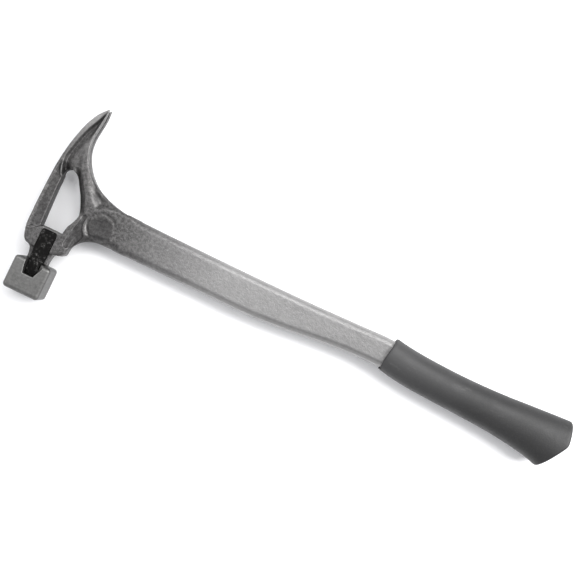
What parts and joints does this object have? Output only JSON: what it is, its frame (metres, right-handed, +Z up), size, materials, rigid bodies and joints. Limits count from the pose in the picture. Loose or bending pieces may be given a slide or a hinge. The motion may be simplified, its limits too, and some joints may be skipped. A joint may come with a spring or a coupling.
{
  "type": "framing hammer",
  "caption": "Long straight-claw framing hammer: cast light-metal head and handle in one piece, screw-on steel striking face, rubber grip.",
  "frame": {"origin": "on the surface it lies on, under the middle of the outline", "axes": "+X along the handle towards the butt, +Y from the striking face towards the claw tips, +Z up, out of the side that shows"},
  "size_m": [0.4581, 0.16, 0.0304],
  "materials": {
    "cast_titanium": "satin, as cast and bead-blasted",
    "face_steel": "fine ground, slightly matt",
    "black_key": "black oxide, matt",
    "black_steel": "oiled black oxide",
    "grip_rubber": "matt moulded rubber"
  },
  "bodies": {
    "hammer": {"head_and_handle": "cast_titanium", "side_key_upper": "black_key", "side_key_lower": "black_key", "grip": "grip_rubber"},
    "face": {"striking_face": "face_steel"},
    "washer": {"lock_washer": "black_steel"},
    "bolt": {"face_bolt": "black_steel"}
  },
  "joints": [
    {"name": "face_slide", "type": "slide", "parent": "hammer", "child": "face", "axis": [0, -1, 0], "range_m": [0, 0.05]},
    {"name": "bolt_lift", "type": "slide", "parent": "hammer", "child": "washer", "axis": [0, 1, 0], "range_m": [0, 0.016]},
    {"name": "bolt_turn", "type": "hinge", "parent": "washer", "child": "bolt", "pos_m": [-0.209, -0.0315, 0.0152], "axis": [0, 1, 0], "range_deg": [0, 5766]}
  ],
  "couplings": [
    {"joint": "bolt_turn", "follows": "bolt_lift", "rad_per_m": 6283.2}
  ]
}
